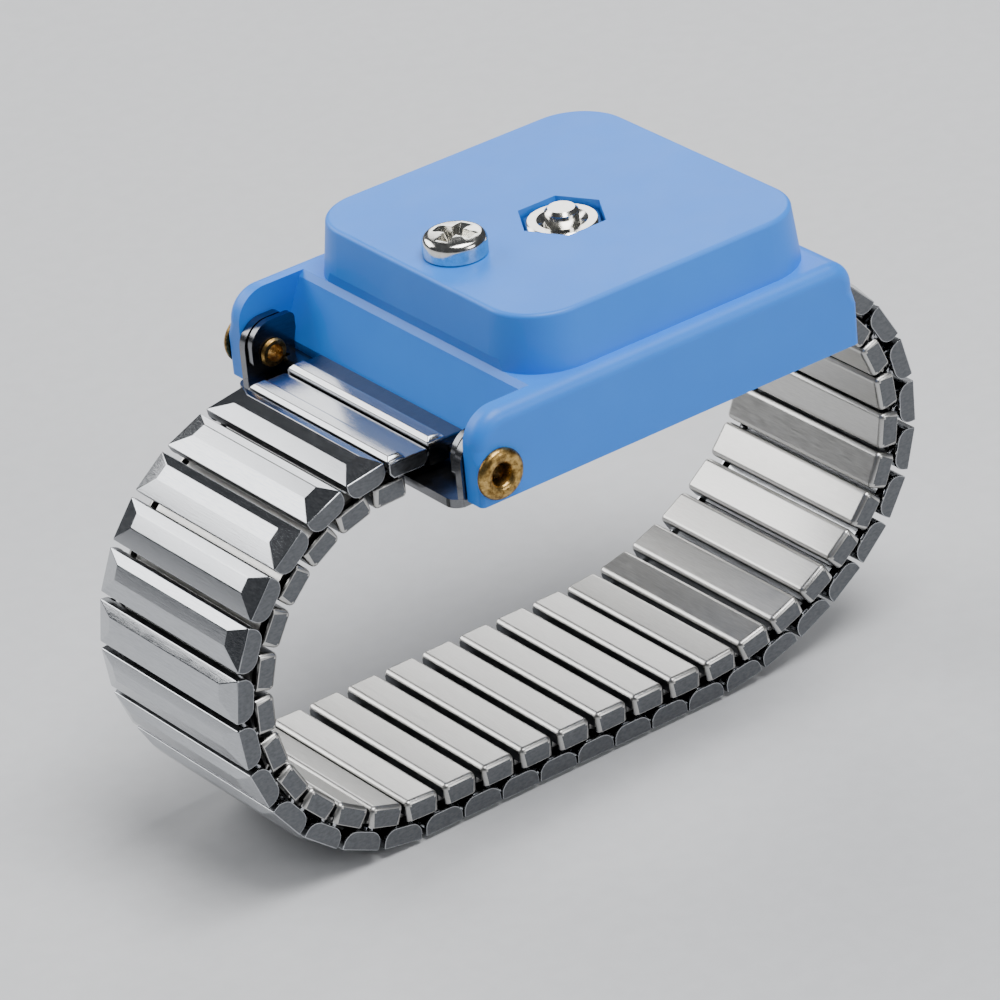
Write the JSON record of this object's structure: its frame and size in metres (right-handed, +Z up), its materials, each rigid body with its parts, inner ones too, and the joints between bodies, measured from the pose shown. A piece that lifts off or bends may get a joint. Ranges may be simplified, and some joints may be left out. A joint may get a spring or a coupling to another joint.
{
  "type": "esd wrist strap",
  "caption": "Anti-static wrist strap: stretching steel link band closed by a square plastic terminal housing with a discharge screw, a ground stud and a skin contact plate.",
  "frame": {"origin": "bottom centre of the bounding box, on the floor under the band", "axes": "+X along the housing, away from its open ears; +Y across the band; +Z up, out of the top of the housing"},
  "size_m": [0.0746, 0.0368, 0.0488],
  "materials": {
    "blue_plastic": "moulded ABS, fine satin",
    "polished_steel": "polished stainless steel",
    "satin_steel": "satin stainless steel",
    "dark_steel": "mirror-polished stainless steel, reflects dark",
    "spring_steel": "spring steel",
    "nickel_plate": "nickel-plated",
    "brass": "bare brass",
    "tinned_brass": "tinned",
    "resistor_enamel": "epoxy-coated carbon film"
  },
  "bodies": {
    "terminal_housing": {"housing": "blue_plastic", "base_plate": "dark_steel", "ground_stud": "nickel_plate", "stud_nut": "nickel_plate", "discharge_screw": "nickel_plate", "screw_insert": "brass", "solder_tags": "tinned_brass", "one_megohm_resistor": "resistor_enamel", "eyelets": "brass", "back_pin": "spring_steel"},
    "front_bracket": {"front_bracket": "dark_steel", "front_bracket_cap": "polished_steel"},
    "back_bracket": {"back_bracket": "satin_steel"},
    "link_01": {"band_link_01": "polished_steel"},
    "link_02": {"band_link_02": "polished_steel"},
    "inner_02": {"inner_link_02": "satin_steel"},
    "link_03": {"band_link_03": "polished_steel"},
    "link_04": {"band_link_04": "polished_steel"},
    "inner_04": {"inner_link_04": "satin_steel"},
    "link_05": {"band_link_05": "polished_steel"},
    "link_06": {"band_link_06": "polished_steel"},
    "inner_06": {"inner_link_06": "satin_steel"},
    "link_07": {"band_link_07": "polished_steel"},
    "link_08": {"band_link_08": "polished_steel"},
    "inner_08": {"inner_link_08": "satin_steel"},
    "link_09": {"band_link_09": "polished_steel"},
    "link_10": {"band_link_10": "polished_steel"},
    "inner_10": {"inner_link_10": "satin_steel"},
    "link_11": {"band_link_11": "polished_steel"},
    "link_12": {"band_link_12": "polished_steel"},
    "inner_12": {"inner_link_12": "satin_steel"},
    "link_13": {"band_link_13": "polished_steel"},
    "link_14": {"band_link_14": "polished_steel"},
    "inner_14": {"inner_link_14": "satin_steel"},
    "link_15": {"band_link_15": "polished_steel"},
    "link_16": {"band_link_16": "polished_steel"},
    "link_17": {"band_link_17": "polished_steel"},
    "inner_17": {"inner_link_17": "satin_steel"},
    "link_18": {"band_link_18": "polished_steel"},
    "link_19": {"band_link_19": "polished_steel"},
    "link_20": {"band_link_20": "polished_steel"},
    "link_21": {"band_link_21": "polished_steel"},
    "inner_21": {"inner_link_21": "satin_steel"},
    "link_22": {"band_link_22": "polished_steel"},
    "link_23": {"band_link_23": "polished_steel"},
    "inner_23": {"inner_link_23": "satin_steel"},
    "link_24": {"band_link_24": "polished_steel"},
    "link_25": {"band_link_25": "polished_steel"},
    "inner_25": {"inner_link_25": "satin_steel"},
    "link_26": {"band_link_26": "polished_steel"},
    "link_27": {"band_link_27": "polished_steel"},
    "inner_27": {"inner_link_27": "satin_steel"},
    "link_28": {"band_link_28": "polished_steel"},
    "link_29": {"band_link_29": "polished_steel"},
    "inner_29": {"inner_link_29": "satin_steel"},
    "link_30": {"band_link_30": "polished_steel"},
    "link_31": {"band_link_31": "polished_steel"},
    "inner_31": {"inner_link_31": "satin_steel"},
    "link_32": {"band_link_32": "polished_steel"},
    "link_33": {"band_link_33": "polished_steel"}
  },
  "joints": [
    {"name": "front_bracket_hinge", "type": "hinge", "parent": "terminal_housing", "child": "front_bracket", "pos_m": [-0.01383, 0, 0.03616], "axis": [0, 1, 0], "range_deg": [0, 8.36]},
    {"name": "band_stretch", "type": "slide", "parent": "front_bracket", "child": "link_01", "axis": [-1, 0, 0], "range_m": [0, 0.0016], "stiffness_N_per_m": 4000, "springref_m": -0.001},
    {"name": "link_02_slide", "type": "slide", "parent": "link_01", "child": "link_02", "axis": [-0.995, 0, -0.0995], "range_m": [0, 0.0016]},
    {"name": "band_flex", "type": "hinge", "parent": "link_02", "child": "inner_02", "pos_m": [-0.02247, 0, 0.03419], "axis": [0, 1, 0], "range_deg": [-4.5, 4.5]},
    {"name": "link_03_slide", "type": "slide", "parent": "inner_02", "child": "link_03", "axis": [-0.9377, 0, -0.3474], "range_m": [0, 0.0016]},
    {"name": "link_04_slide", "type": "slide", "parent": "link_03", "child": "link_04", "axis": [-0.8197, 0, -0.5728], "range_m": [0, 0.0016]},
    {"name": "link_04_flex", "type": "hinge", "parent": "link_04", "child": "inner_04", "pos_m": [-0.02969, 0, 0.03041], "axis": [0, 1, 0], "range_deg": [-1.55, 1.55]},
    {"name": "link_05_slide", "type": "slide", "parent": "inner_04", "child": "link_05", "axis": [-0.6486, 0, -0.7611], "range_m": [0, 0.0016]},
    {"name": "link_06_slide", "type": "slide", "parent": "link_05", "child": "link_06", "axis": [-0.4356, 0, -0.9002], "range_m": [0, 0.0016]},
    {"name": "link_06_flex", "type": "hinge", "parent": "link_06", "child": "inner_06", "pos_m": [-0.03415, 0, 0.02359], "axis": [0, 1, 0], "range_deg": [-1.23, 1.23]},
    {"name": "link_07_slide", "type": "slide", "parent": "inner_06", "child": "link_07", "axis": [-0.1943, 0, -0.9809], "range_m": [0, 0.0016]},
    {"name": "link_08_slide", "type": "slide", "parent": "link_07", "child": "link_08", "axis": [0.0595, 0, -0.9982], "range_m": [0, 0.0016]},
    {"name": "link_08_flex", "type": "hinge", "parent": "link_08", "child": "inner_08", "pos_m": [-0.0347, 0, 0.01545], "axis": [0, 1, 0], "range_deg": [-3.12, 3.12]},
    {"name": "link_09_slide", "type": "slide", "parent": "inner_08", "child": "link_09", "axis": [0.3095, 0, -0.9509], "range_m": [0, 0.0016]},
    {"name": "link_10_slide", "type": "slide", "parent": "link_09", "child": "link_10", "axis": [0.5394, 0, -0.842], "range_m": [0, 0.0016]},
    {"name": "link_10_flex", "type": "hinge", "parent": "link_10", "child": "inner_10", "pos_m": [-0.03121, 0, 0.00809], "axis": [0, 1, 0], "range_deg": [-3.64, 3.64]},
    {"name": "link_11_slide", "type": "slide", "parent": "inner_10", "child": "link_11", "axis": [0.7345, 0, -0.6787], "range_m": [0, 0.0016]},
    {"name": "link_12_slide", "type": "slide", "parent": "link_11", "child": "link_12", "axis": [0.8819, 0, -0.4713], "range_m": [0, 0.0016]},
    {"name": "link_12_flex", "type": "hinge", "parent": "link_12", "child": "inner_12", "pos_m": [-0.02457, 0, 0.00336], "axis": [0, 1, 0], "range_deg": [-2.66, 2.66]},
    {"name": "link_13_slide", "type": "slide", "parent": "inner_12", "child": "link_13", "axis": [0.9723, 0, -0.2335], "range_m": [0, 0.0016]},
    {"name": "link_14_slide", "type": "slide", "parent": "link_13", "child": "link_14", "axis": [1, 0, 0], "range_m": [0, 0.0016]},
    {"name": "link_14_flex", "type": "hinge", "parent": "link_14", "child": "inner_14", "pos_m": [-0.01646, 0, 0.00231], "axis": [0, 1, 0], "range_deg": [-0.4645, 0.4645]},
    {"name": "link_15_slide", "type": "slide", "parent": "inner_14", "child": "link_15", "axis": [1, 0, 0], "range_m": [0, 0.0016]},
    {"name": "link_16_slide", "type": "slide", "parent": "link_15", "child": "link_16", "axis": [1, 0, 0], "range_m": [0, 0.0016]},
    {"name": "link_17_slide", "type": "slide", "parent": "link_16", "child": "link_17", "axis": [1, 0, 0], "range_m": [0, 0.0016]},
    {"name": "link_17_flex", "type": "hinge", "parent": "link_17", "child": "inner_17", "pos_m": [-0.0041, 0, 0.00231], "axis": [0, 1, 0], "range_deg": [-3.22, 3.22]},
    {"name": "link_18_slide", "type": "slide", "parent": "inner_17", "child": "link_18", "axis": [1, 0, 0], "range_m": [0, 0.0016]},
    {"name": "link_19_slide", "type": "slide", "parent": "link_18", "child": "link_19", "axis": [1, 0, 0], "range_m": [0, 0.0016]},
    {"name": "back_bracket_hinge", "type": "hinge", "parent": "terminal_housing", "child": "back_bracket", "pos_m": [0.02123, 0, 0.03678], "axis": [0, 1, 0], "range_deg": [-10.09, 0]},
    {"name": "link_33_slide", "type": "slide", "parent": "back_bracket", "child": "link_33", "axis": [0.9397, 0, -0.342], "range_m": [0, 0.0016]},
    {"name": "link_32_slide", "type": "slide", "parent": "link_33", "child": "link_32", "axis": [0.8471, 0, -0.5314], "range_m": [0, 0.0016]},
    {"name": "link_31_slide", "type": "slide", "parent": "link_32", "child": "inner_31", "axis": [0.6732, 0, -0.7394], "range_m": [0, 0.0016]},
    {"name": "link_31_flex", "type": "hinge", "parent": "inner_31", "child": "link_31", "pos_m": [0.03231, 0, 0.02938], "axis": [0, 1, 0], "range_deg": [-0.2314, 0.2314]},
    {"name": "link_30_slide", "type": "slide", "parent": "link_31", "child": "link_30", "axis": [0.4499, 0, -0.8931], "range_m": [0, 0.0016]},
    {"name": "link_29_slide", "type": "slide", "parent": "link_30", "child": "inner_29", "axis": [0.1934, 0, -0.9811], "range_m": [0, 0.0016]},
    {"name": "link_29_flex", "type": "hinge", "parent": "inner_29", "child": "link_29", "pos_m": [0.03495, 0, 0.02169], "axis": [0, 1, 0], "range_deg": [-2.6, 2.6]},
    {"name": "link_28_slide", "type": "slide", "parent": "link_29", "child": "link_28", "axis": [-0.0772, 0, -0.997], "range_m": [0, 0.0016]},
    {"name": "link_27_slide", "type": "slide", "parent": "link_28", "child": "inner_27", "axis": [-0.3422, 0, -0.9396], "range_m": [0, 0.0016]},
    {"name": "link_27_flex", "type": "hinge", "parent": "inner_27", "child": "link_27", "pos_m": [0.03323, 0, 0.01373], "axis": [0, 1, 0], "range_deg": [-3.5, 3.5]},
    {"name": "link_26_slide", "type": "slide", "parent": "link_27", "child": "link_26", "axis": [-0.582, 0, -0.8132], "range_m": [0, 0.0016]},
    {"name": "link_25_slide", "type": "slide", "parent": "link_26", "child": "inner_25", "axis": [-0.7627, 0, -0.6467], "range_m": [0, 0.0016]},
    {"name": "link_25_flex", "type": "hinge", "parent": "inner_25", "child": "link_25", "pos_m": [0.02771, 0, 0.00771], "axis": [0, 1, 0], "range_deg": [-2.29, 2.29]},
    {"name": "link_24_slide", "type": "slide", "parent": "link_25", "child": "link_24", "axis": [-0.8489, 0, -0.5285], "range_m": [0, 0.0016]},
    {"name": "link_23_slide", "type": "slide", "parent": "link_24", "child": "inner_23", "axis": [-0.9169, 0, -0.3991], "range_m": [0, 0.0016]},
    {"name": "link_23_flex", "type": "hinge", "parent": "inner_23", "child": "link_23", "pos_m": [0.02044, 0, 0.0039], "axis": [0, 1, 0], "range_deg": [-0.1922, 0.1922]},
    {"name": "link_22_slide", "type": "slide", "parent": "link_23", "child": "link_22", "axis": [-0.9653, 0, -0.2611], "range_m": [0, 0.0016]},
    {"name": "link_21_slide", "type": "slide", "parent": "link_22", "child": "inner_21", "axis": [-0.9931, 0, -0.1175], "range_m": [0, 0.0016]},
    {"name": "link_21_flex", "type": "hinge", "parent": "inner_21", "child": "link_21", "pos_m": [0.01238, 0, 0.00234], "axis": [0, 1, 0], "range_deg": [-3.51, 3.51]},
    {"name": "link_20_slide", "type": "slide", "parent": "link_21", "child": "link_20", "axis": [-1, 0, 0], "range_m": [0, 0.0016]}
  ],
  "couplings": [
    {"joint": "front_bracket_hinge", "follows": "band_stretch", "rad_per_m": 91.056},
    {"joint": "link_02_slide", "follows": "band_stretch", "ratio": 1},
    {"joint": "link_03_slide", "follows": "band_stretch", "ratio": 1},
    {"joint": "link_04_slide", "follows": "band_stretch", "ratio": 1},
    {"joint": "link_04_flex", "follows": "band_flex", "ratio": 0.34348},
    {"joint": "link_05_slide", "follows": "band_stretch", "ratio": 1},
    {"joint": "link_06_slide", "follows": "band_stretch", "ratio": 1},
    {"joint": "link_06_flex", "follows": "band_flex", "ratio": -0.27314},
    {"joint": "link_07_slide", "follows": "band_stretch", "ratio": 1},
    {"joint": "link_08_slide", "follows": "band_stretch", "ratio": 1},
    {"joint": "link_08_flex", "follows": "band_flex", "ratio": -0.69278},
    {"joint": "link_09_slide", "follows": "band_stretch", "ratio": 1},
    {"joint": "link_10_slide", "follows": "band_stretch", "ratio": 1},
    {"joint": "link_10_flex", "follows": "band_flex", "ratio": -0.80856},
    {"joint": "link_11_slide", "follows": "band_stretch", "ratio": 1},
    {"joint": "link_12_slide", "follows": "band_stretch", "ratio": 1},
    {"joint": "link_12_flex", "follows": "band_flex", "ratio": -0.59099},
    {"joint": "link_13_slide", "follows": "band_stretch", "ratio": 1},
    {"joint": "link_14_slide", "follows": "band_stretch", "ratio": 1},
    {"joint": "link_14_flex", "follows": "band_flex", "ratio": -0.10311},
    {"joint": "link_15_slide", "follows": "band_stretch", "ratio": 1},
    {"joint": "link_16_slide", "follows": "band_stretch", "ratio": 1},
    {"joint": "link_17_slide", "follows": "band_stretch", "ratio": 1},
    {"joint": "link_17_flex", "follows": "band_flex", "ratio": 0.71589},
    {"joint": "link_18_slide", "follows": "band_stretch", "ratio": 1},
    {"joint": "link_19_slide", "follows": "band_stretch", "ratio": 1},
    {"joint": "back_bracket_hinge", "follows": "band_stretch", "rad_per_m": -109.91},
    {"joint": "link_33_slide", "follows": "band_stretch", "ratio": 1},
    {"joint": "link_32_slide", "follows": "band_stretch", "ratio": 1},
    {"joint": "link_31_slide", "follows": "band_stretch", "ratio": 1},
    {"joint": "link_31_flex", "follows": "band_flex", "ratio": -0.05138},
    {"joint": "link_30_slide", "follows": "band_stretch", "ratio": 1},
    {"joint": "link_29_slide", "follows": "band_stretch", "ratio": 1},
    {"joint": "link_29_flex", "follows": "band_flex", "ratio": 0.57653},
    {"joint": "link_28_slide", "follows": "band_stretch", "ratio": 1},
    {"joint": "link_27_slide", "follows": "band_stretch", "ratio": 1},
    {"joint": "link_27_flex", "follows": "band_flex", "ratio": 0.77809},
    {"joint": "link_26_slide", "follows": "band_stretch", "ratio": 1},
    {"joint": "link_25_slide", "follows": "band_stretch", "ratio": 1},
    {"joint": "link_25_flex", "follows": "band_flex", "ratio": 0.50761},
    {"joint": "link_24_slide", "follows": "band_stretch", "ratio": 1},
    {"joint": "link_23_slide", "follows": "band_stretch", "ratio": 1},
    {"joint": "link_23_flex", "follows": "band_flex", "ratio": -0.04268},
    {"joint": "link_22_slide", "follows": "band_stretch", "ratio": 1},
    {"joint": "link_21_slide", "follows": "band_stretch", "ratio": 1},
    {"joint": "link_21_flex", "follows": "band_flex", "ratio": -0.779},
    {"joint": "link_20_slide", "follows": "band_stretch", "ratio": 1}
  ]
}
